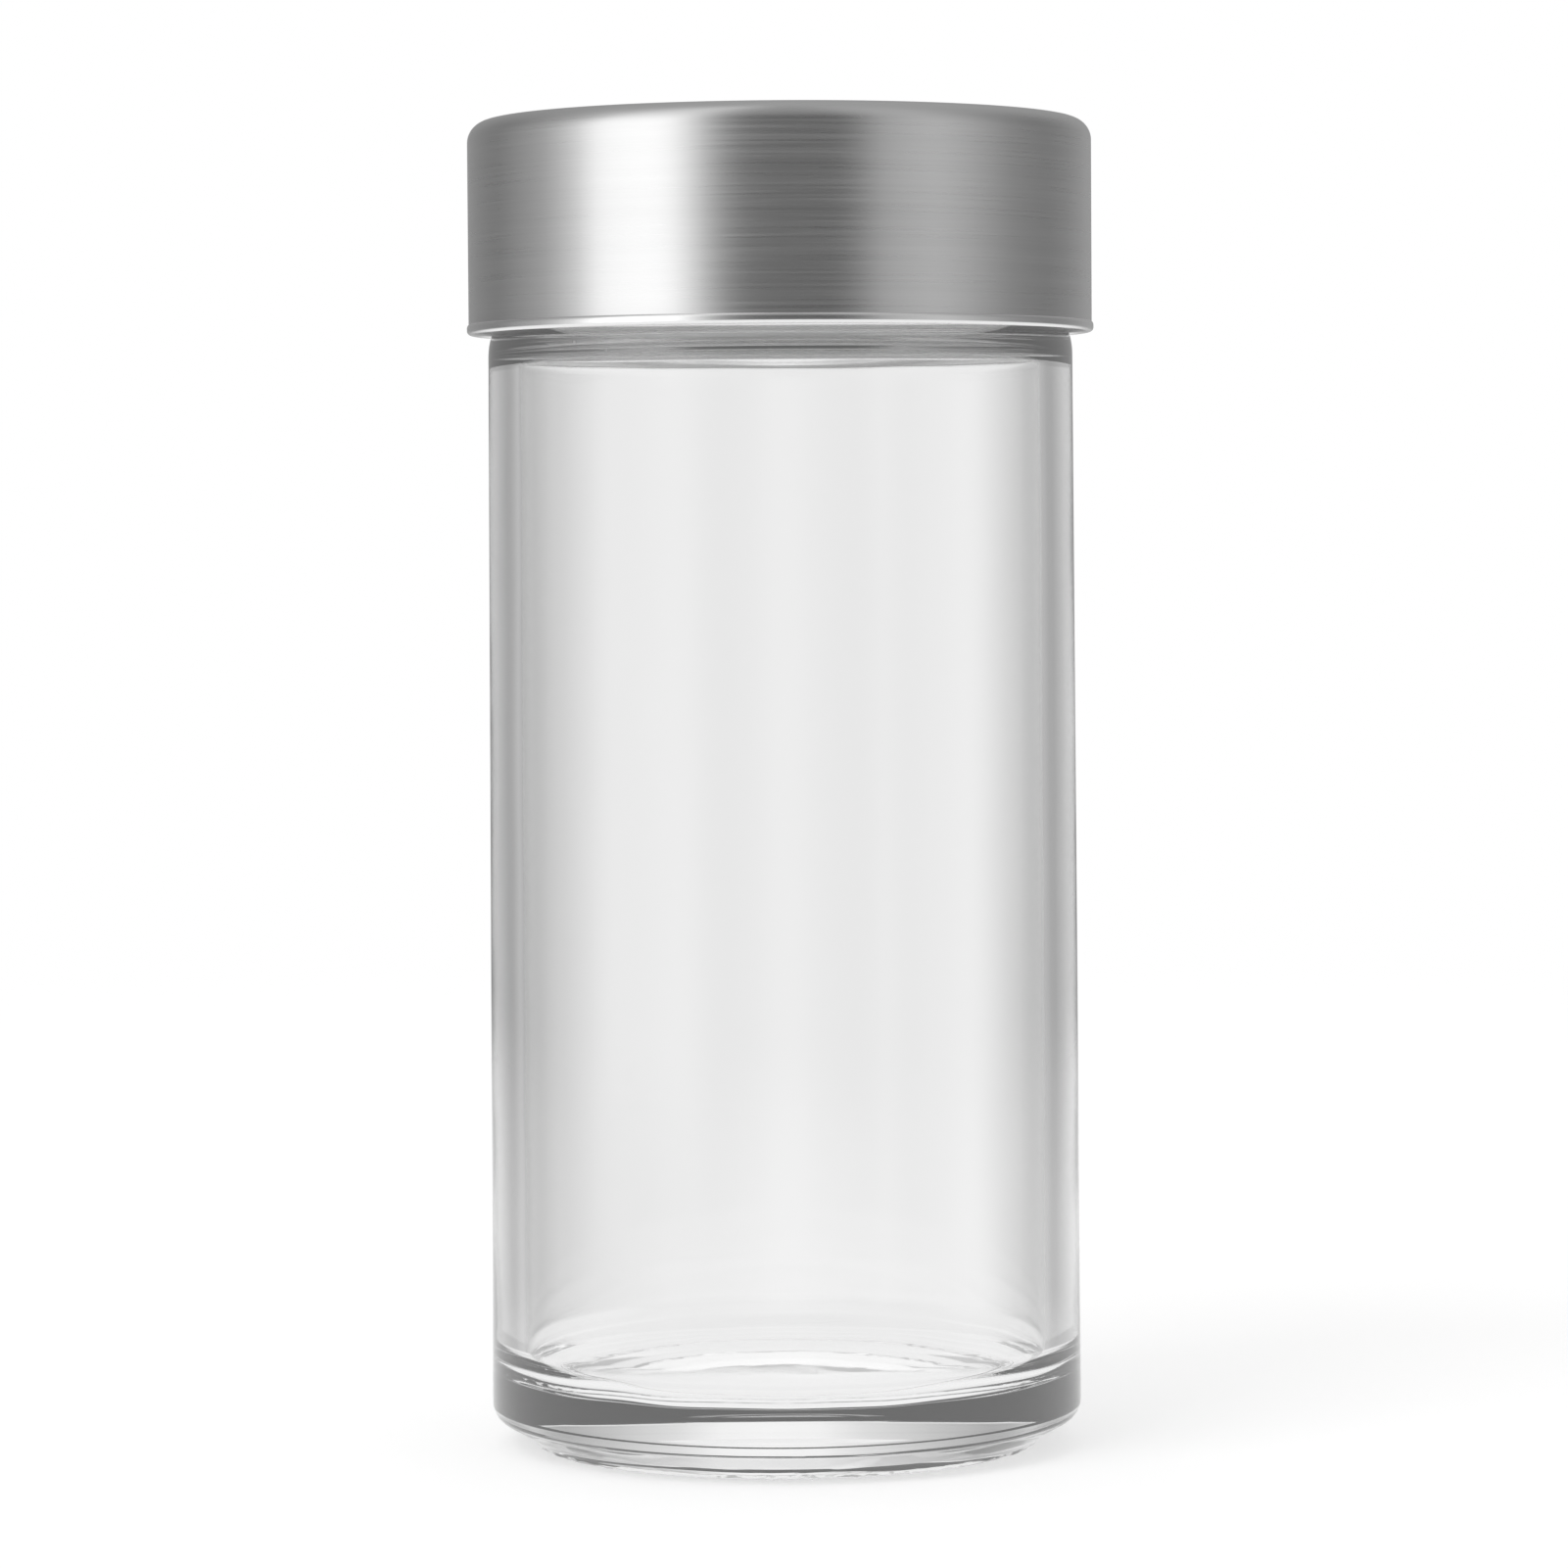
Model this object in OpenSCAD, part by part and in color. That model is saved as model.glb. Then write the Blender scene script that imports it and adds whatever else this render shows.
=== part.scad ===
// Round glass spice jar with a brushed steel screw lid.
// Millimetres, +Z up. The origin is the centre of the foot ring, on the surface the jar stands on.

/* [Glass jar] */
// Outer diameter of the straight glass wall
jar_d = 44; // [40:0.5:60]
// Thickness of the glass wall
jar_wall = 2.4; // [1.8:0.1:3]
// Height from the foot to where the shoulder starts to curve in
shoulder_z = 81.8; // [50:0.5:140]
// Radius of the shoulder where it leaves the wall
shoulder_r = 3.2; // [2.4:0.1:4]
// Height of the inner floor above the foot, at its rim
floor_z = 4.9; // [4:0.1:9]
// How far the inner floor rises towards its centre
floor_crown = 0.6; // [0.2:0.1:1.5]
// Radius of the corner between the inner wall and the inner floor
floor_corner_r = 3; // [1.5:0.1:6]
// How far the inner shoulder lies below the outer one
inner_shoulder_drop = 0.9; // [0.6:0.1:3]
// Radius of the inner shoulder where it leaves the bore
inner_shoulder_r = 1; // [0.6:0.1:2]
// Radius of the inner neck where it rises from the inner shoulder
inner_neck_root_r = 2; // [1:0.1:3]

/* [Heel and foot] */
// How far the heel's chamfer runs in from the wall
heel_in = 2.3; // [1.5:0.1:3]
// How far the heel's chamfer rises
heel_rise = 1.32; // [0.8:0.02:2]
// Radius that rounds the wall into the heel's chamfer
heel_r = 1.4; // [0.6:0.1:2]
// Height of the foot ring
foot_h = 1; // [0.6:0.1:1.6]
// How far the foot ring stands in from the chamfer's lower edge
foot_step = 0.5; // [0.2:0.1:1]
// Width of the foot ring
foot_w = 2.4; // [1.6:0.1:3.5]
// Radius of the foot ring's two lower edges
foot_r = 0.4; // [0.2:0.05:0.6]
// How far the underside rises inside the foot ring, beyond the ring's own height
push_up = 0.9; // [0.4:0.1:1.5]

/* [Neck and thread] */
// How far the neck stands in from the wall
neck_inset = 2; // [1.6:0.1:3]
// Thickness of the neck's glass
neck_wall = 2.2; // [1.6:0.1:3]
// Radius where the shoulder runs into the neck
neck_root_r = 1; // [0.5:0.1:2]
// Height from the start of the shoulder to the sealing rim
rim_above_shoulder = 14.85; // [13.5:0.05:20]
// Radius of the sealing rim's two edges
rim_r = 0.8; // [0.4:0.1:0.9]
// Rise of the screw thread in one turn
thread_lead = 4.2; // [3.6:0.1:5]
// Turns that the thread makes, the same on neck and lid
thread_turns = 1.25; // [1:0.05:1.4]
// Height of the thread ridge out of its wall
thread_depth = 1.1; // [0.6:0.05:1.2]
// Width of a thread ridge where it meets its wall
thread_root_w = 1.8; // [1.2:0.05:1.8]
// Width of a thread ridge at its crest
thread_crest_w = 0.8; // [0.5:0.05:1]
// Distance from the sealing rim down to the upper end of the jar's thread, at mid ridge
thread_drop = 2.45; // [2:0.05:3]
// Gap between the pressing faces of the two threads when the lid is shut
thread_gap = 0.2; // [0.1:0.05:0.3]
// Radial gap between a crest and the wall that it faces
crest_gap = 0.4; // [0.2:0.05:0.6]

/* [Lid] */
// Thickness of the steel
steel_t = 0.4; // [0.3:0.05:0.6]
// Radius of the lid's rounded top edge
lid_edge_r = 1.6; // [1:0.1:3]
// Radius of the round wire edge of the rolled hem
hem_r = 0.3; // [0.25:0.05:0.5]
// How far the hem stands proud of the lid's side
hem_proud = 0.13; // [0.05:0.01:0.2]
// Height of the lid's lower edge above the start of the shoulder
lid_above_shoulder = 1.65; // [1.2:0.05:2]
// Wall of the plastic insert
insert_wall = 1.4; // [1:0.05:1.8]
// Thickness of the plastic insert's top plate
insert_top = 1.25; // [0.8:0.05:2]
// Play between the insert and the steel shell, on each side
insert_play = 0.05; // [0.02:0.01:0.1]
// Height of the insert's lower edge above the hem
insert_above_hem = 0.1; // [0.05:0.05:0.5]
// Thickness of the sealing disc
seal_t = 0.95; // [0.6:0.05:2]
// Radial play between the sealing disc and the insert
seal_play = 0.3; // [0.1:0.05:0.5]
// Play left above and below the sealing disc
seal_gap = 0.03; // [0.02:0.01:0.1]

/* [Hidden] */
$fn = 180;
wide_arc_fn = 720;
thread_steps_per_turn = 48;
// Angle over which each end of a thread ridge dies away
thread_fade_deg = 30;
least_fade = 0.05;
// How deep a ridge's foot is sunk into its own wall
thread_sink = 0.4;
overlap = 0.01;

jar_r = jar_d / 2;
bore_r = jar_r - jar_wall;
neck_r = jar_r - neck_inset;
mouth_r = neck_r - neck_wall;
rim_z = shoulder_z + rim_above_shoulder;

heel_angle = atan2(heel_rise, heel_in);
heel_foot_r = jar_r - heel_in;
heel_corner_z = foot_h + heel_rise;
heel_tangent = heel_r * tan((90 - heel_angle) / 2);
heel_round_z = heel_corner_z + heel_tangent;
foot_out_r = heel_foot_r - foot_step;
foot_in_r = foot_out_r - foot_w;
push_up_r = (foot_in_r ^ 2 + push_up ^ 2) / (2 * push_up);
crown_in_r = bore_r - floor_corner_r;
crown_r = (crown_in_r ^ 2 + floor_crown ^ 2) / (2 * floor_crown);

// The inner shoulder keeps the wall's thickness as it follows the outer one
inner_shoulder_z = shoulder_z - inner_shoulder_drop;

crest_r = neck_r + thread_depth;
insert_in_r = crest_r + crest_gap;
insert_crest_r = neck_r + crest_gap;
insert_out_r = insert_in_r + insert_wall;
lid_in_r = insert_out_r + insert_play;
lid_r = lid_in_r + steel_t;
hem_out_r = lid_r + hem_proud;
lid_bottom_z = shoulder_z + lid_above_shoulder;
hem_z = lid_bottom_z + hem_r;
insert_bottom_z = lid_bottom_z + 2 * hem_r + insert_above_hem;

seal_bottom_z = rim_z + seal_gap;
insert_ceiling_z = seal_bottom_z + seal_t + seal_gap;
insert_top_z = insert_ceiling_z + insert_top;
lid_top_z = insert_top_z + insert_play + steel_t;

jar_thread_z = rim_z - thread_drop - thread_lead * thread_turns;
insert_thread_z = jar_thread_z - (thread_root_w + thread_crest_w) / 2 - thread_gap;

// Area under an S-shaped shoulder: two arcs that meet, from radius big in to radius small
module shoulder_area(big, small, z, low_arc, high_arc) {
    turn = acos(1 - (big - small) / (low_arc + high_arc));
    rise = (low_arc + high_arc) * sin(turn);
    centre = big - low_arc;
    meet = [centre + low_arc * cos(turn), z + low_arc * sin(turn)];
    reach = 2 * low_arc;
    difference() {
        polygon([[0, z], [centre, z], meet, [small, z + rise], [0, z + rise]]);
        translate([small + high_arc, z + rise]) circle(high_arc);
    }
    intersection() {
        translate([centre, z]) circle(low_arc);
        polygon([[centre, z], [centre + reach, z], [centre + reach * cos(turn), z + reach * sin(turn)]]);
    }
}

// Upright block from the axis to radius r, with a rounded upper corner
module round_top_area(r, z0, z1, corner) {
    translate([0, z0]) square([r, z1 - z0 - corner]);
    translate([0, z1 - corner - overlap]) square([r - corner, corner + overlap]);
    translate([r - corner, z1 - corner]) circle(corner);
}

// Ridge of a screw thread: a tapered section swept up a helix, fading out at both ends
module thread_ridge(wall_r, tip_r, z) {
    steps = round(thread_steps_per_turn * thread_turns);
    span = 360 * thread_turns;
    foot = tip_r > wall_r ? wall_r - thread_sink : wall_r + thread_sink;
    points = [
        for (i = [0 : steps])
            let (a = span * i / steps)
            let (fade = min(1, a / thread_fade_deg, (span - a) / thread_fade_deg))
            let (tip = wall_r + (tip_r - wall_r) * max(fade, least_fade))
            let (h = z + thread_lead * a / 360)
            for (p = [
                [foot, -thread_root_w / 2],
                [tip, -thread_crest_w / 2],
                [tip, thread_crest_w / 2],
                [foot, thread_root_w / 2]
            ])
                [p[0] * cos(a), p[0] * sin(a), h + p[1]]
    ];
    sides = [
        for (i = [0 : steps - 1])
            for (k = [0 : 3])
                let (n = (k + 1) % 4)
                [4 * i + k, 4 * i + n, 4 * (i + 1) + n, 4 * (i + 1) + k]
    ];
    ends = [[3, 2, 1, 0], [for (k = [0 : 3]) 4 * steps + k]];
    outward = concat(sides, ends);
    inward = [for (f = outward) [for (k = [len(f) - 1 : -1 : 0]) f[k]]];
    polyhedron(points, tip_r > wall_r ? outward : inward);
}

module jar_outside() {
    tangent_x = jar_r - heel_tangent * cos(heel_angle);
    tangent_z = heel_corner_z - heel_tangent * sin(heel_angle);
    round_x = jar_r - heel_r;
    polygon([
        [0, foot_h],
        [heel_foot_r, foot_h],
        [tangent_x, tangent_z],
        [round_x, heel_round_z],
        [jar_r, heel_round_z],
        [jar_r, shoulder_z],
        [0, shoulder_z]
    ]);
    translate([round_x, heel_round_z]) circle(heel_r);
    shoulder_area(jar_r, neck_r, shoulder_z, shoulder_r, neck_root_r);
    round_top_area(neck_r, shoulder_z, rim_z, rim_r);
    foot_area();
}

// The foot ring's section, rounded at both lower edges
module foot_area() {
    translate([foot_in_r, foot_r]) square([foot_w, foot_h - foot_r + overlap]);
    translate([foot_in_r + foot_r, 0]) square([foot_w - 2 * foot_r, foot_h]);
    translate([foot_in_r + foot_r, foot_r]) circle(foot_r);
    translate([foot_out_r - foot_r, foot_r]) circle(foot_r);
}

// Push-up under the base, inside the foot ring
module push_up_area() {
    intersection() {
        translate([0, foot_h + push_up - push_up_r]) circle(push_up_r, $fn = wide_arc_fn);
        translate([0, -overlap]) square([foot_in_r, foot_h + push_up + 2 * overlap]);
    }
}

module jar_inside() {
    difference() {
        union() {
            translate([0, floor_z]) square([crown_in_r, floor_corner_r]);
            translate([crown_in_r, floor_z + floor_corner_r]) circle(floor_corner_r);
            translate([0, floor_z + floor_corner_r])
                square([bore_r, inner_shoulder_z - floor_z - floor_corner_r]);
        }
        translate([0, floor_z + floor_crown - crown_r]) circle(crown_r, $fn = wide_arc_fn);
    }
    shoulder_area(bore_r, mouth_r, inner_shoulder_z, inner_shoulder_r, inner_neck_root_r);
    translate([0, inner_shoulder_z]) square([mouth_r, rim_z - rim_r - inner_shoulder_z + overlap]);
    // The rim's inner edge is rounded
    difference() {
        translate([0, rim_z - rim_r]) square([mouth_r + rim_r, rim_r + overlap]);
        translate([mouth_r + rim_r, rim_z - rim_r]) circle(rim_r);
    }
}

module glass_jar() {
    color("#dfe8e8", 0.35)
    union() {
        rotate_extrude()
            difference() {
                intersection() {
                    jar_outside();
                    square([jar_r, rim_z]);
                }
                jar_inside();
                push_up_area();
            }
        thread_ridge(neck_r, crest_r, jar_thread_z);
    }
}

module lid_shell() {
    color("silver")
    rotate_extrude() {
        difference() {
            round_top_area(lid_r, hem_z, lid_top_z, lid_edge_r);
            translate([0, -overlap])
                round_top_area(lid_in_r, hem_z - overlap, lid_top_z - steel_t + overlap, lid_edge_r - steel_t);
        }
        translate([hem_out_r - hem_r, hem_z]) circle(hem_r);
    }
}

module lid_insert() {
    corner = lid_edge_r - steel_t;
    color("#e8e8e6")
    union() {
        rotate_extrude()
            difference() {
                round_top_area(insert_out_r, insert_bottom_z, insert_top_z, corner);
                translate([0, insert_bottom_z - overlap])
                    square([insert_in_r, insert_ceiling_z - insert_bottom_z + overlap]);
            }
        thread_ridge(insert_in_r, insert_crest_r, insert_thread_z);
    }
}

module seal_disc() {
    color("#f2f2ee")
    translate([0, 0, seal_bottom_z])
        cylinder(h = seal_t, r = insert_in_r - seal_play);
}

glass_jar();
lid_shell();
lid_insert();
seal_disc();
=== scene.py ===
"""Clear glass spice jar with a brushed steel screw lid, dressed over its frame."""

import logging
import math
from dataclasses import dataclass
from enum import Enum

import bmesh
import bpy
from mathutils import Matrix, Vector, noise


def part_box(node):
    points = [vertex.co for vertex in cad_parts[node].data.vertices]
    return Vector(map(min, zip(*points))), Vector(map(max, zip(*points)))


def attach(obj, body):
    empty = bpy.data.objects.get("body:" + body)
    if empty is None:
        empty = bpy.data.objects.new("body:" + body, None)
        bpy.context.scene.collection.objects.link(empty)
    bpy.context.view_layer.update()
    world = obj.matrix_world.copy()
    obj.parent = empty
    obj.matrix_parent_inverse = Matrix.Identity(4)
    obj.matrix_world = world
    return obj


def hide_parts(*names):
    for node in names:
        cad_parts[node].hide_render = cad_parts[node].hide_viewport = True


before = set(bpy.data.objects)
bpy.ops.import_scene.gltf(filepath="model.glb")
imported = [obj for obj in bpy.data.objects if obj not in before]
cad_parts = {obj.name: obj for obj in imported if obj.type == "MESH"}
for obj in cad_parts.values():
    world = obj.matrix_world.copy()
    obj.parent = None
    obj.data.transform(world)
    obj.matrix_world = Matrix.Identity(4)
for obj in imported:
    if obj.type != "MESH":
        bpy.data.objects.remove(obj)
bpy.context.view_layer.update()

LOG = logging.getLogger("spice_jar")
MM = 0.001
TURN_STEPS = 256
SHARP_ANGLE = math.radians(38)
# Points of a mesh closer than this, in millimetres, are one point
WELD = 0.002


class Body(Enum):
    """The frame's bodies that new pieces ride on."""

    JAR = "jar"
    LID = "lid"


class Slot(Enum):
    """The record's material slots of the new pieces."""

    GLASS = "clear_glass"
    STEEL = "brushed_steel"


@dataclass(frozen=True)
class Corner:
    """One corner of a turned outline, in millimetres."""

    r: float
    z: float
    rounding: float = 0.0
    segments: int = 6


def top_of(node: str) -> float:
    """Height of the top of a frame node, in millimetres."""
    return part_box(node)[1].z / MM


def fillet_reach(before: Corner, here: Corner, after: Corner) -> float:
    """Works out how far from a corner its rounding starts.

    Args:
        before: The corner before it.
        here: The corner that is rounded.
        after: The corner after it.

    Returns:
        The distance along each side, in millimetres.
    """
    back = Vector((before.r - here.r, before.z - here.z))
    ahead = Vector((after.r - here.r, after.z - here.z))
    return here.rounding / math.tan(back.angle(ahead) / 2)


def turned(corners: list[Corner]) -> bmesh.types.BMesh:
    """Turns an outline about the jar's axis, as on a lathe.

    Args:
        corners: The outline's corners, from one end to the other.

    Returns:
        The turned shell, with its poles and seam closed.
    """
    bm = bmesh.new()
    verts = [bm.verts.new((c.r * MM, 0, c.z * MM)) for c in corners]
    for start, end in zip(verts, verts[1:]):
        bm.edges.new((start, end))
    for i, corner in enumerate(corners):
        if corner.rounding:
            reach = fillet_reach(corners[i - 1], corner, corners[i + 1])
            bmesh.ops.bevel(
                bm, geom=[verts[i]], offset=reach * MM, offset_type="OFFSET",
                segments=corner.segments, profile=0.5, affect="VERTICES",
                material=-1,
            )
    bmesh.ops.spin(
        bm, geom=bm.verts[:] + bm.edges[:], cent=(0, 0, 0), axis=(0, 0, 1),
        dvec=(0, 0, 0), angle=math.tau, steps=TURN_STEPS, use_merge=True,
    )
    bmesh.ops.remove_doubles(bm, verts=bm.verts[:], dist=MM * WELD)
    bmesh.ops.recalc_face_normals(bm, faces=bm.faces[:])
    return bm


def as_object(name: str, bm: bmesh.types.BMesh) -> bpy.types.Object:
    """Makes a shaded object of a mesh under work.

    Args:
        name: The piece's name.
        bm: The mesh, which is freed.

    Returns:
        The linked object, at the origin.
    """
    mesh = bpy.data.meshes.new(name)
    bm.to_mesh(mesh)
    bm.free()
    mesh.shade_smooth()
    mesh.set_sharp_from_angle(angle=SHARP_ANGLE)
    piece = bpy.data.objects.new(name, mesh)
    bpy.context.scene.collection.objects.link(piece)
    return piece


class Nodes:
    """A material's or the world's node tree, with short calls to fill it."""

    def __init__(self, tree: bpy.types.NodeTree) -> None:
        """Keeps the tree."""
        self.tree = tree

    def add(self, kind: str, **settings: object) -> bpy.types.Node:
        """Adds a node.

        Args:
            kind: The node's type without its ShaderNode prefix.
            **settings: Properties of the node to set.

        Returns:
            The new node.
        """
        node = self.tree.nodes.new("ShaderNode" + kind)
        for key, value in settings.items():
            setattr(node, key, value)
        return node

    def link(
        self, source: bpy.types.NodeSocket, target: bpy.types.NodeSocket
    ) -> None:
        """Joins two sockets."""
        self.tree.links.new(source, target)

    def math(
        self, operation: str, first: object, second: object = 0.0
    ) -> bpy.types.NodeSocket:
        """Adds a sum on one or two numbers.

        Args:
            operation: The Math node's operation.
            first: A number or a socket.
            second: A number or a socket.

        Returns:
            The result's socket.
        """
        node = self.add("Math", operation=operation)
        for socket, value in zip(node.inputs, (first, second)):
            if isinstance(value, bpy.types.NodeSocket):
                self.link(value, socket)
            else:
                socket.default_value = value
        return node.outputs[0]

    def spread(
        self, value: bpy.types.NodeSocket, low: float, high: float
    ) -> bpy.types.NodeSocket:
        """Maps 0 to 1 onto low to high.

        Args:
            value: The socket to map.
            low: What 0 becomes.
            high: What 1 becomes.

        Returns:
            The result's socket.
        """
        node = self.add("MapRange")
        self.link(value, node.inputs["Value"])
        node.inputs["To Min"].default_value = low
        node.inputs["To Max"].default_value = high
        return node.outputs["Result"]

    def noise(
        self, vector: bpy.types.NodeSocket, scale: float, detail: float = 3.0
    ) -> bpy.types.NodeSocket:
        """Adds a noise texture.

        Args:
            vector: Where the texture is read.
            scale: How fine it is.
            detail: How many finer layers it has.

        Returns:
            The socket of its grey value.
        """
        node = self.add("TexNoise")
        self.link(vector, node.inputs["Vector"])
        node.inputs["Scale"].default_value = scale
        node.inputs["Detail"].default_value = detail
        return node.outputs["Fac"]

    def grey(self, value: bpy.types.NodeSocket) -> bpy.types.NodeSocket:
        """Makes a neutral colour of one number.

        Args:
            value: The number's socket.

        Returns:
            The colour's socket.
        """
        node = self.add("CombineColor")
        for socket in node.inputs:
            self.link(value, socket)
        return node.outputs["Color"]

    def bump(
        self, height: bpy.types.NodeSocket, strength: float, distance: float
    ) -> bpy.types.NodeSocket:
        """Adds a bump.

        Args:
            height: The socket of the height, from 0 to 1.
            strength: How much of the bump shows.
            distance: What a height of 1 stands for, in millimetres.

        Returns:
            The socket of the bumped normal.
        """
        node = self.add("Bump")
        node.inputs["Strength"].default_value = strength
        node.inputs["Distance"].default_value = distance * MM
        self.link(height, node.inputs["Height"])
        return node.outputs["Normal"]


class Finish:
    """What all finishes share: a named material with its shader and nodes."""

    def start(self, name: str) -> tuple[bpy.types.Material, Nodes, bpy.types.Node]:
        """Makes an empty material.

        Args:
            name: The material's name.

        Returns:
            The material, its nodes and its main shader.
        """
        material = bpy.data.materials.new(name)
        material.use_nodes = True
        nodes = Nodes(material.node_tree)
        return material, nodes, material.node_tree.nodes["Principled BSDF"]


@dataclass(frozen=True)
class ClearGlass(Finish):
    """Moulded container glass: clear, with a very slight waviness."""

    tint: float = 0.975
    roughness: float = 0.01
    ior: float = 1.5
    ripple_scale: float = 90.0
    ripple_height: float = 0.25
    ripple_strength: float = 0.12
    glow_after_depth: float = 5.5
    painted_glow: float = 0.12

    def material(self) -> bpy.types.Material:
        """Builds the glass.

        Returns:
            The finished material.
        """
        material, nodes, shader = self.start("clear_glass")
        shader.inputs["Base Color"].default_value = (self.tint,) * 3 + (1,)
        shader.inputs["Roughness"].default_value = self.roughness
        shader.inputs["IOR"].default_value = self.ior
        shader.inputs["Transmission Weight"].default_value = 1.0
        self._paint_late_glow(nodes, shader)
        place = nodes.add("TexCoord").outputs["Object"]
        ripple = nodes.noise(place, self.ripple_scale, 1.0)
        nodes.link(
            nodes.bump(ripple, self.ripple_strength, self.ripple_height),
            shader.inputs["Normal"],
        )
        return material

    def _paint_late_glow(self, nodes: Nodes, shader: bpy.types.Node) -> None:
        """Paints a glow on the glass: a white emission on rays deeper than the given
        bounce, standing for light that runs on inside the wall past the last bounce.

        Args:
            nodes: The material's nodes.
            shader: The glass.
        """
        # Painted glow: the glass emits white light on late bounces, though it is no
        # lamp.
        depth = nodes.add("LightPath").outputs["Ray Depth"]
        late = nodes.math("GREATER_THAN", depth, self.glow_after_depth)
        shader.inputs["Emission Color"].default_value = (1, 1, 1, 1)
        nodes.link(
            nodes.math("MULTIPLY", late, self.painted_glow),
            shader.inputs["Emission Strength"],
        )


@dataclass(frozen=True)
class BrushedSteel(Finish):
    """Steel sheet brushed round the axis, in fine rings that break up."""

    name: str = "brushed_steel"
    grey: float = 0.66
    grey_swing: float = 0.07
    roughness: float = 0.3
    roughness_swing: float = 0.1
    anisotropy: float = 0.7
    scratches: float = 5200.0
    drift: float = 60.0
    band_scale: float = 0.17
    streak_share: float = 0.6
    band_share: float = 0.4
    across_grain: float = 0.25
    scratch_strength: float = 0.35
    scratch_height: float = 0.012

    def material(self) -> bpy.types.Material:
        """Builds the brushed sheet.

        Returns:
            The finished material.
        """
        material, nodes, shader = self.start(self.name)
        place = nodes.add("TexCoord").outputs["Object"]
        parts = nodes.add("SeparateXYZ")
        nodes.link(place, parts.inputs[0])
        x, y, z = parts.outputs
        radius = nodes.math(
            "SQRT",
            nodes.math(
                "ADD", nodes.math("MULTIPLY", x, x), nodes.math("MULTIPLY", y, y)
            ),
        )
        rings = nodes.math("MULTIPLY", nodes.math("ADD", radius, z), self.scratches)
        around = nodes.math("MULTIPLY", x, self.drift)
        across = nodes.math("MULTIPLY", y, self.drift)
        brushed = nodes.add("CombineXYZ")
        for source, target in zip((rings, around, across), brushed.inputs):
            nodes.link(source, target)
        streak = nodes.noise(brushed.outputs[0], 1.0, 4.0)
        band = nodes.noise(brushed.outputs[0], self.band_scale, 2.0)
        mixed = nodes.math(
            "ADD",
            nodes.math("MULTIPLY", streak, self.streak_share),
            nodes.math("MULTIPLY", band, self.band_share),
        )
        low, high = self.grey - self.grey_swing, self.grey + self.grey_swing
        nodes.link(
            nodes.grey(nodes.spread(mixed, low, high)), shader.inputs["Base Color"]
        )
        nodes.link(
            nodes.spread(
                streak,
                self.roughness - self.roughness_swing,
                self.roughness + self.roughness_swing,
            ),
            shader.inputs["Roughness"],
        )
        shader.inputs["Metallic"].default_value = 1.0
        shader.inputs["Anisotropic"].default_value = self.anisotropy
        shader.inputs["Anisotropic Rotation"].default_value = self.across_grain
        tangent = nodes.add("Tangent", direction_type="RADIAL", axis="Z")
        nodes.link(tangent.outputs[0], shader.inputs["Tangent"])
        nodes.link(
            nodes.bump(mixed, self.scratch_strength, self.scratch_height),
            shader.inputs["Normal"],
        )
        return material


@dataclass(frozen=True)
class MouldedPlastic(Finish):
    """Pale moulded plastic with a faint, fine grain."""

    grey: float = 0.74
    grey_swing: float = 0.03
    roughness: float = 0.42
    roughness_swing: float = 0.06
    cloud_scale: float = 120.0
    grain: float = 2600.0
    grain_strength: float = 0.2
    grain_height: float = 0.02

    def material(self) -> bpy.types.Material:
        """Builds the plastic.

        Returns:
            The finished material.
        """
        material, nodes, shader = self.start("insert_plastic")
        place = nodes.add("TexCoord").outputs["Object"]
        grain = nodes.noise(place, self.grain, 2.0)
        cloud = nodes.noise(place, self.cloud_scale, 2.0)
        low, high = self.grey - self.grey_swing, self.grey + self.grey_swing
        nodes.link(
            nodes.grey(nodes.spread(cloud, low, high)), shader.inputs["Base Color"]
        )
        nodes.link(
            nodes.spread(
                grain,
                self.roughness - self.roughness_swing,
                self.roughness + self.roughness_swing,
            ),
            shader.inputs["Roughness"],
        )
        nodes.link(
            nodes.bump(grain, self.grain_strength, self.grain_height),
            shader.inputs["Normal"],
        )
        return material


@dataclass(frozen=True)
class FoamCard(Finish):
    """Pressed foam card of the seal: matt, with small cells."""

    darkest: float = 0.74
    palest: float = 0.84
    roughness: float = 0.85
    cells: float = 2200.0
    cell_strength: float = 0.4
    cell_depth: float = 0.05

    def material(self) -> bpy.types.Material:
        """Builds the foam.

        Returns:
            The finished material.
        """
        material, nodes, shader = self.start("seal_foam")
        place = nodes.add("TexCoord").outputs["Object"]
        cell = nodes.add("TexVoronoi")
        nodes.link(place, cell.inputs["Vector"])
        cell.inputs["Scale"].default_value = self.cells
        depth = cell.outputs["Distance"]
        nodes.link(
            nodes.grey(nodes.spread(depth, self.darkest, self.palest)),
            shader.inputs["Base Color"],
        )
        shader.inputs["Roughness"].default_value = self.roughness
        nodes.link(
            nodes.bump(depth, self.cell_strength, self.cell_depth),
            shader.inputs["Normal"],
        )
        return material


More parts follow.
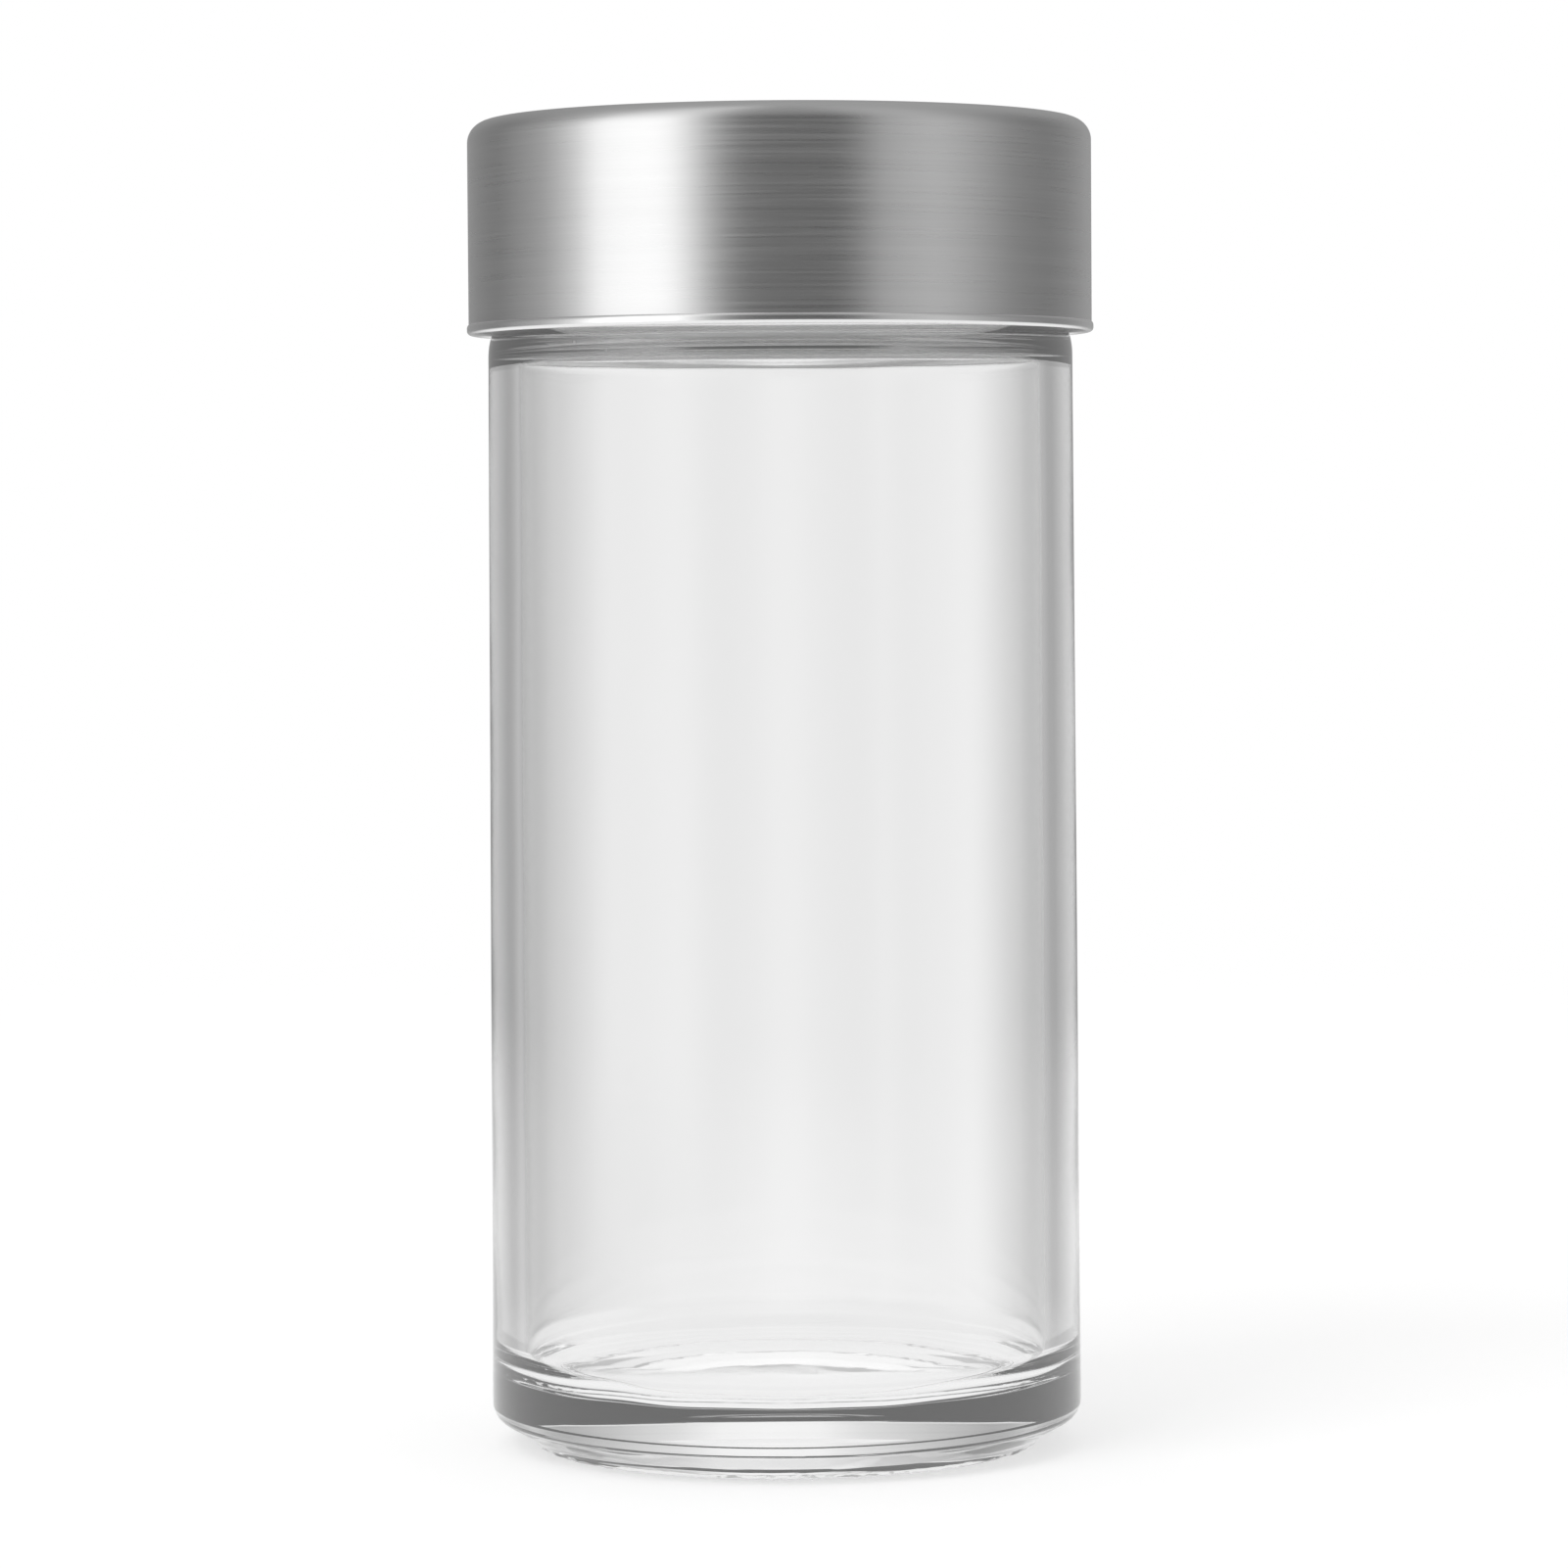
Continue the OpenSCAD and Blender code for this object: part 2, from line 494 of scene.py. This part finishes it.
@dataclass
class Thread:
    """The raised screw thread round the neck, in millimetres."""

    start_z: float = 88.95
    lead: float = 4.2
    turns: float = 1.25
    root_half: float = 0.9
    crest_half: float = 0.4
    steps: int = 120
    fade_turns: float = 0.09

    def build(self, wall_r: float, crest_r: float) -> bpy.types.Object:
        """Sweeps the ridge along its helix and runs its ends out.

        Args:
            wall_r: Radius of the ridge's root, just inside the neck's wall.
            crest_r: Radius of the crest.

        Returns:
            The ridge as a closed mesh.
        """
        bm = bmesh.new()
        outline = (
            (wall_r, -self.root_half), (crest_r, -self.crest_half),
            (crest_r, self.crest_half), (wall_r, self.root_half),
        )
        section = bm.faces.new(
            [bm.verts.new((r * MM, 0, (self.start_z + z) * MM)) for r, z in outline]
        )
        bmesh.ops.spin(
            bm, geom=[section, *section.edges, *section.verts], cent=(0, 0, 0),
            axis=(0, 0, 1), dvec=(0, 0, self.lead * self.turns / self.steps * MM),
            angle=math.tau * self.turns, steps=self.steps, use_merge=False,
        )
        bmesh.ops.remove_doubles(bm, verts=bm.verts[:], dist=MM * WELD)
        inner = [f for f in bm.faces if all(len(e.link_faces) > 2 for e in f.edges)]
        bmesh.ops.delete(bm, geom=inner, context="FACES_ONLY")
        for vert in bm.verts:
            self._fade(vert, wall_r)
        bmesh.ops.recalc_face_normals(bm, faces=bm.faces[:])
        return as_object("neck_thread", bm)

    def _fade(self, vert: bmesh.types.BMVert, wall_r: float) -> None:
        """Sinks a vertex towards the root near the thread's ends.

        Args:
            vert: A vertex of the ridge.
            wall_r: Radius of the ridge's root.
        """
        angle = math.atan2(vert.co.y, vert.co.x) / math.tau
        rise = (vert.co.z / MM - self.start_z) / self.lead
        turn = angle + round(rise - angle)
        run = min(turn, self.turns - turn) / self.fade_turns
        height = min(max(run, 0.0), 1.0)
        radius = vert.co.xy.length / MM
        scale = (wall_r + (radius - wall_r) * height) / radius
        vert.co.x *= scale
        vert.co.y *= scale


@dataclass
class GlassJar:
    """The moulded jar: foot, heel, slightly drafted wall, shoulder and neck."""

    foot_in_r: float = 17.3
    foot_out_r: float = 18.85
    foot_kink_r: float = 19.15
    foot_kink_z: float = 0.4
    chamfer_r: float = 19.8
    chamfer_z: float = 0.95
    heel_z: float = 2.32
    heel_rounding: float = 1.4
    foot_height: float = 1.0
    foot_in_draft: float = 0.5
    foot_in_rounding: float = 0.4
    foot_corner: float = 0.3
    foot_rounding: float = 0.35
    kink_rounding: float = 0.2
    push_up: float = 0.9
    # Shares of the radius, each with its share of the push-up's drop
    push_up_dome: tuple[tuple[float, float], ...] = ((0.33, 0.11), (0.66, 0.44))
    base_r: float = 22.19
    bulge: float = 0.05
    bulge_z: float = 4.6
    bulge_rounding: float = 6.0
    bulge_end_z: float = 11.04
    bulge_end_rounding: float = 12.0
    top_r: float = 21.88
    shoulder_z: float = 85.0
    shoulder_rounding: float = 3.2
    neck_r: float = 20.0
    neck_root_rounding: float = 1.0
    mouth_r: float = 17.8
    rim_rounding: float = 0.8
    bore_r: float = 19.6
    bore_top_r: float = 19.55
    bore_base_r: float = 19.7
    inner_neck_z: float = 82.35
    inner_neck_rounding: float = 2.0
    inner_shoulder_z: float = 81.55
    inner_shoulder_rounding: float = 1.0
    floor_z: float = 4.9
    floor_crown: float = 0.6
    # Shares of the radius, each with its share of the crown's rise
    floor_dome: tuple[tuple[float, float], ...] = ((0.66, 0.55), (0.33, 0.9))
    floor_rounding: float = 3.0
    stipple: float = 0.13
    stipple_pitch: float = 0.75
    stipple_cover: float = 0.35
    foot_edge: float = 0.4
    floor_wave: float = 0.12
    floor_wave_pitch: float = 6.0
    floor_wave_below: float = 0.5
    floor_wave_above: float = 2.0
    crest_r: float = 21.1
    thread_sink: float = 0.3

    def outline(self) -> list[Corner]:
        """Lays out the wall, from the push-up's middle round the rim to the floor's.

        Returns:
            The outline's corners.
        """
        rim_z = top_of("glass_jar")
        hollow = self.foot_height + self.push_up
        return [
            Corner(0, hollow),
            *(
                Corner(self.foot_in_r * out, hollow - self.push_up * drop)
                for out, drop in self.push_up_dome
            ),
            Corner(
                self.foot_in_r - self.foot_in_draft, self.foot_height,
                self.foot_in_rounding, 3,
            ),
            Corner(self.foot_in_r, 0, self.foot_corner, 4),
            Corner((self.foot_in_r + self.foot_out_r) / 2, 0),
            Corner(self.foot_out_r, 0, self.foot_rounding, 5),
            Corner(self.foot_kink_r, self.foot_kink_z, self.kink_rounding, 3),
            Corner(self.chamfer_r, self.chamfer_z, self.kink_rounding, 3),
            Corner(self.base_r + self.bulge, self.heel_z, self.heel_rounding, 10),
            Corner(self.base_r + self.bulge, self.bulge_z, self.bulge_rounding, 4),
            Corner(self.base_r, self.bulge_end_z, self.bulge_end_rounding, 4),
            Corner(self.top_r, self.shoulder_z, self.shoulder_rounding, 14),
            Corner(self.neck_r, self.shoulder_z, self.neck_root_rounding, 6),
            Corner(self.neck_r, rim_z, self.rim_rounding, 8),
            Corner(self.mouth_r, rim_z, self.rim_rounding, 8),
            Corner(self.mouth_r, self.inner_neck_z, self.inner_neck_rounding, 8),
            Corner(
                self.bore_top_r, self.inner_shoulder_z,
                self.inner_shoulder_rounding, 8,
            ),
            Corner(self.bore_base_r, self.floor_z, self.floor_rounding, 14),
            *(
                Corner(self.bore_r * out, self.floor_z + self.floor_crown * rise)
                for out, rise in self.floor_dome
            ),
            Corner(0, self.floor_z + self.floor_crown),
        ]

    def build(self) -> bpy.types.Object:
        """Turns the jar, gives the base its moulding marks and adds the thread.

        Returns:
            The jar, not yet dressed.
        """
        bm = turned(self.outline())
        for vert in bm.verts:
            self._mould_marks(vert)
        jar = as_object("jar_glass", bm)
        ridge = Thread().build(self.neck_r - self.thread_sink, self.crest_r)
        self._fuse(jar, ridge)
        return jar

    def _mould_marks(self, vert: bmesh.types.BMVert) -> None:
        """Raises the stipple of the foot and the slight waves of the floor.

        Args:
            vert: A vertex of the jar.
        """
        radius, height = vert.co.xy.length / MM, vert.co.z / MM
        place = Vector((vert.co.x, vert.co.y, 0)) / MM
        floor_low = self.floor_z - self.floor_wave_below
        floor_high = self.floor_z + self.floor_wave_above
        if height < self.foot_kink_z and radius > self.foot_in_r - self.foot_edge:
            bump = noise.noise(place / self.stipple_pitch) + self.stipple_cover
            vert.co.z += self.stipple * MM * max(0.0, bump)
        elif floor_low < height < floor_high and radius < self.bore_r:
            wave = noise.noise(place / self.floor_wave_pitch)
            vert.co.z += self.floor_wave * MM * wave

    def _fuse(self, jar: bpy.types.Object, ridge: bpy.types.Object) -> None:
        """Joins the ridge to the jar as one closed skin.

        Args:
            jar: The turned jar, which gets the joined mesh.
            ridge: The thread's ridge, which is removed.
        """
        union = jar.modifiers.new("thread", "BOOLEAN")
        union.operation = "UNION"
        union.solver = "EXACT"
        union.object = ridge
        graph = bpy.context.evaluated_depsgraph_get()
        fused = bpy.data.meshes.new_from_object(jar.evaluated_get(graph))
        jar.modifiers.clear()
        jar.data = fused
        bpy.data.objects.remove(ridge)

    def dress(self, jar: bpy.types.Object) -> None:
        """Gives the jar its glass, its body and its place in the frame.

        Args:
            jar: The jar that build returned.
        """
        jar.data.materials.clear()
        jar.data.materials.append(ClearGlass().material())
        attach(jar, Body.JAR.value)
        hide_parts("glass_jar")
        LOG.info("jar_glass: %d faces", len(jar.data.polygons))


@dataclass
class ScrewLid:
    """The steel cap with its rolled hem, and the plastic insert and foam in it."""

    sheet: float = 0.4
    edge_rounding: float = 1.6
    side_r: float = 23.35
    hem_height: float = 0.66
    hem_rounding: float = 0.32
    hem_neck: float = 0.12
    hem_neck_out_rounding: float = 0.06
    hem_neck_in_rounding: float = 0.04
    hem_reach: float = 0.1

    def outline(self) -> list[Corner]:
        """Lays out the sheet, from the top's middle round the hem and back.

        Returns:
            The outline's corners.
        """
        low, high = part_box("lid_shell")
        top, bottom, hem_r = high.z / MM, low.z / MM, high.x / MM
        hem_top = bottom + self.hem_height
        inside, roll_in = self.side_r - self.sheet, hem_r - self.hem_height
        return [
            Corner(0, top),
            Corner(self.side_r, top, self.edge_rounding, 12),
            Corner(
                self.side_r, hem_top + self.hem_neck, self.hem_neck_out_rounding, 2
            ),
            Corner(hem_r, hem_top, self.hem_rounding, 6),
            Corner(hem_r, bottom, self.hem_rounding, 6),
            Corner(roll_in, bottom, self.hem_rounding, 6),
            Corner(roll_in, hem_top, self.hem_rounding / 2, 4),
            Corner(inside, hem_top + self.hem_neck, self.hem_neck_in_rounding, 2),
            Corner(inside, top - self.sheet, self.edge_rounding - self.sheet, 8),
            Corner(0, top - self.sheet),
        ]

    def build(self) -> bpy.types.Object:
        """Turns the steel cap."""
        return as_object("lid_steel", turned(self.outline()))

    def dress(self, cap: bpy.types.Object) -> None:
        """Gives the cap brushed sheet and a smoother hem, whose lighter grey paints a
        highlight on the rolled edge, and dresses what it holds.

        Args:
            cap: The steel cap that build returned.
        """
        cap.data.materials.append(BrushedSteel().material())
        # The hem is really smoother and less brushed. Its lighter grey of the same
        # steel is a painted highlight.
        hem = BrushedSteel("rolled_hem_painted_highlight", grey=0.8, roughness=0.22, anisotropy=0.1)
        cap.data.materials.append(hem.material())
        hem_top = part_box("lid_shell")[0].z + (self.hem_height + self.hem_reach) * MM
        for face in cap.data.polygons:
            face.material_index = int(face.center.z < hem_top)
        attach(cap, Body.LID.value)
        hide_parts("lid_shell")
        LOG.info("lid_steel: %d faces", len(cap.data.polygons))
        repaint("lid_insert", MouldedPlastic().material())
        repaint("seal_disc", FoamCard().material())


def repaint(node: str, material: bpy.types.Material) -> None:
    """Gives a frame node that stays a better material.

    Args:
        node: The node's name.
        material: What it is painted with.
    """
    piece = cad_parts[node]
    for slot in piece.material_slots:
        slot.material = material
    LOG.info("%s: repainted", node)


@dataclass(frozen=True)
class Panel:
    """How bright the studio is at one bearing, as gloss or glass shows it.

    The bearing is in degrees from the camera's side, towards the right.
    """

    bearing: float
    level: float


@dataclass
class Studio:
    """Pale floor, soft world, one soft lamp and the camera."""

    camera_place: tuple[float, float, float] = (0.000067, -0.43271, 0.06956)
    camera_pitch: float = 0.046
    camera_roll: float = 0.0064
    lens: float = 132.02
    sensor: float = 36.0
    clip: tuple[float, float] = (0.01, 20.0)
    soft_level: float = 0.8
    overhead_level: float = 0.55
    overhead_share: float = 0.6
    overhead_start: float = 0.35
    overhead_full: float = 0.9
    steep_glow: float = 0.9
    down_tilt: tuple[float, float] = (-0.18, -0.3)
    up_tilt: tuple[float, float] = (0.3, 0.5)
    glow_turn: float = 2.2
    glow_corner: float = 45.0
    gloss_scale: float = 1.7
    floor_r: float = 0.5
    floor_steps: int = 96
    floor_grey: float = 0.5
    floor_fill: float = 0.56
    floor_roughness: float = 0.9
    floor_specular: float = 0.1
    fade_start: float = 0.3
    fade_end: float = 0.96
    lamp_energy: float = 7.0
    lamp_size: float = 0.8
    lamp_place: tuple[float, float, float] = (-0.7, -0.8, 1.1)
    lamp_aim_z: float = 0.05

    def panels(self) -> list[Panel]:
        """Lists what gloss reflects.

        Returns:
            The ring of cards, from behind the jar round by the left.
        """
        return [
            Panel(-180, 0.38), Panel(-126, 0.23), Panel(-96, 0.46),
            Panel(-80, 0.86), Panel(-70, 1.50), Panel(-42, 1.62),
            Panel(-34, 1.15), Panel(-28, 0.68), Panel(-21, 0.31),
            Panel(-12, 0.14), Panel(22, 0.11), Panel(30, 0.24),
            Panel(38, 0.48), Panel(60, 0.64), Panel(76, 0.49),
            Panel(95, 0.29), Panel(116, 0.23), Panel(150, 0.38),
            Panel(180, 0.38),
        ]

    def backlight(self) -> list[Panel]:
        """Lists what shows through glass.

        Returns:
            The glow, by bearing from the nearest of the studio's four walls.
        """
        return [
            Panel(0, 0.93), Panel(6, 0.90), Panel(12, 0.72), Panel(22, 0.54),
            Panel(33, 0.40), Panel(38, 0.42), Panel(45, 0.56),
        ]

    def _ramp(
        self, nodes: Nodes, value: bpy.types.NodeSocket, panels: list[Panel],
        first: float, last: float,
    ) -> bpy.types.NodeSocket:
        """Adds a ramp that runs through the panels' levels.

        Args:
            nodes: The world's nodes.
            value: The bearing in degrees.
            panels: The stops, in order.
            first: Bearing of the ramp's start.
            last: Bearing of the ramp's end.

        Returns:
            The level's socket.
        """
        share = nodes.add("MapRange")
        nodes.link(value, share.inputs["Value"])
        share.inputs["From Min"].default_value = first
        share.inputs["From Max"].default_value = last
        ramp = nodes.add("ValToRGB")
        stops = ramp.color_ramp.elements
        while len(stops) > 1:
            stops.remove(stops[-1])
        for i, panel in enumerate(panels):
            place = (panel.bearing - first) / (last - first)
            stop = stops[0] if i == 0 else stops.new(place)
            stop.position = place
            level = panel.level / self.gloss_scale
            stop.color = (level, level, level, 1)
        nodes.link(share.outputs["Result"], ramp.inputs["Fac"])
        return nodes.math("MULTIPLY", ramp.outputs["Color"], self.gloss_scale)

    def light_world(self) -> None:
        """Makes the world: white behind, cards in gloss, a soft glow for the rest."""
        world = bpy.data.worlds.new("studio")
        bpy.context.scene.world = world
        world.use_nodes = True
        nodes = Nodes(world.node_tree)
        direction = nodes.add("SeparateXYZ")
        nodes.link(nodes.add("TexCoord").outputs["Generated"], direction.inputs[0])
        x, y, z = direction.outputs
        turn = nodes.math("ARCTAN2", x, nodes.math("MULTIPLY", y, -1.0))
        bearing = nodes.math("DEGREES", turn)
        ring = self._ramp(nodes, bearing, self.panels(), -180, 180)
        up = nodes.add("MapRange", interpolation_type="SMOOTHSTEP")
        nodes.link(z, up.inputs["Value"])
        up.inputs["From Min"].default_value = self.overhead_start
        up.inputs["From Max"].default_value = self.overhead_full
        up.inputs["To Max"].default_value = self.overhead_share
        gloss = self._between(nodes, up.outputs["Result"], ring, self.overhead_level)
        square = nodes.math("ADD", bearing, self.glow_turn)
        wall = nodes.math("PINGPONG", square, self.glow_corner)
        glow = self._ramp(nodes, wall, self.backlight(), 0, self.glow_corner)
        for start, end in (self.down_tilt, self.up_tilt):
            tilt = nodes.add("MapRange", interpolation_type="SMOOTHSTEP")
            nodes.link(z, tilt.inputs["Value"])
            tilt.inputs["From Min"].default_value = start
            tilt.inputs["From Max"].default_value = end
            glow = self._between(nodes, tilt.outputs["Result"], glow, self.steep_glow)
        path = nodes.add("LightPath")
        level = self._between(
            nodes, path.outputs["Is Glossy Ray"], self.soft_level, gloss
        )
        level = self._between(nodes, path.outputs["Is Transmission Ray"], level, glow)
        level = self._between(nodes, path.outputs["Is Camera Ray"], level, 1.0)
        background = world.node_tree.nodes["Background"]
        nodes.link(level, background.inputs["Strength"])
        background.inputs["Color"].default_value = (1, 1, 1, 1)

    def _between(
        self, nodes: Nodes, share: bpy.types.NodeSocket, off: object, on: object
    ) -> bpy.types.NodeSocket:
        """Adds a blend of two levels.

        Args:
            nodes: The world's nodes.
            share: How far it is from off to on.
            off: A number or a socket.
            on: A number or a socket.

        Returns:
            The blended level's socket.
        """
        node = nodes.add("Mix", data_type="FLOAT")
        nodes.link(share, node.inputs[0])
        for socket, value in zip(node.inputs[2:4], (off, on)):
            if isinstance(value, bpy.types.NodeSocket):
                nodes.link(value, socket)
            else:
                socket.default_value = value
        return node.outputs[0]

    def lay_floor(self) -> None:
        """Lays a pale round floor that fades out into the white."""
        bm = bmesh.new()
        bmesh.ops.create_circle(
            bm, cap_ends=True, radius=self.floor_r, segments=self.floor_steps
        )
        floor = as_object("studio_floor", bm)
        material = bpy.data.materials.new("studio_floor")
        material.use_nodes = True
        floor.data.materials.append(material)
        nodes = Nodes(material.node_tree)
        shader = material.node_tree.nodes["Principled BSDF"]
        shader.inputs["Base Color"].default_value = (self.floor_grey,) * 3 + (1,)
        shader.inputs["Roughness"].default_value = self.floor_roughness
        shader.inputs["Specular IOR Level"].default_value = self.floor_specular
        path = nodes.add("LightPath")
        seen = nodes.math(
            "MAXIMUM", path.outputs["Is Camera Ray"], path.outputs["Is Glossy Ray"]
        )
        shader.inputs["Emission Color"].default_value = (1, 1, 1, 1)
        nodes.link(
            nodes.math("MULTIPLY", seen, self.floor_fill),
            shader.inputs["Emission Strength"],
        )
        length = nodes.add("VectorMath", operation="LENGTH")
        nodes.link(nodes.add("TexCoord").outputs["Object"], length.inputs[0])
        fade = nodes.add("MapRange", interpolation_type="SMOOTHSTEP")
        nodes.link(length.outputs["Value"], fade.inputs["Value"])
        fade.inputs["From Min"].default_value = self.floor_r * self.fade_start
        fade.inputs["From Max"].default_value = self.floor_r * self.fade_end
        fade.inputs["To Min"].default_value = 1.0
        fade.inputs["To Max"].default_value = 0.0
        direct = nodes.math("SUBTRACT", 1.0, path.outputs["Is Transmission Ray"])
        nodes.link(
            nodes.math("MULTIPLY", fade.outputs["Result"], direct),
            shader.inputs["Alpha"],
        )

    def hang_lamp(self) -> None:
        """Hangs a soft lamp at the upper left, which shows in no gloss."""
        lamp = bpy.data.lights.new("soft_lamp", "AREA")
        lamp.energy = self.lamp_energy
        lamp.size = self.lamp_size
        holder = bpy.data.objects.new("soft_lamp", lamp)
        holder.location = self.lamp_place
        aim = Vector((0, 0, self.lamp_aim_z)) - holder.location
        holder.rotation_euler = aim.to_track_quat("-Z", "Y").to_euler()
        holder.visible_glossy = False
        holder.visible_transmission = False
        bpy.context.scene.collection.objects.link(holder)

    def set_camera(self) -> None:
        """Sets the camera where the photograph was taken from."""
        data = bpy.data.cameras.new("camera")
        data.lens = self.lens
        data.sensor_width = self.sensor
        data.clip_start, data.clip_end = self.clip
        camera = bpy.data.objects.new("camera", data)
        turn = Matrix.Rotation(math.pi / 2 - self.camera_pitch, 4, "X")
        roll = Matrix.Rotation(-self.camera_roll, 4, "Z")
        camera.matrix_world = Matrix.Translation(self.camera_place) @ turn @ roll
        bpy.context.scene.collection.objects.link(camera)
        bpy.context.scene.camera = camera

    def build(self) -> None:
        """Sets up the whole studio."""
        self.set_camera()
        self.light_world()
        self.lay_floor()
        self.hang_lamp()
        bpy.context.scene.view_settings.view_transform = "Standard"
        LOG.info("studio: ready")


def main() -> None:
    """Builds and dresses the pieces, then the studio."""
    logging.basicConfig(level=logging.INFO)
    jar, lid = GlassJar(), ScrewLid()
    jar.dress(jar.build())
    lid.dress(lid.build())
    Studio().build()


if __name__ == "__main__":
    main()
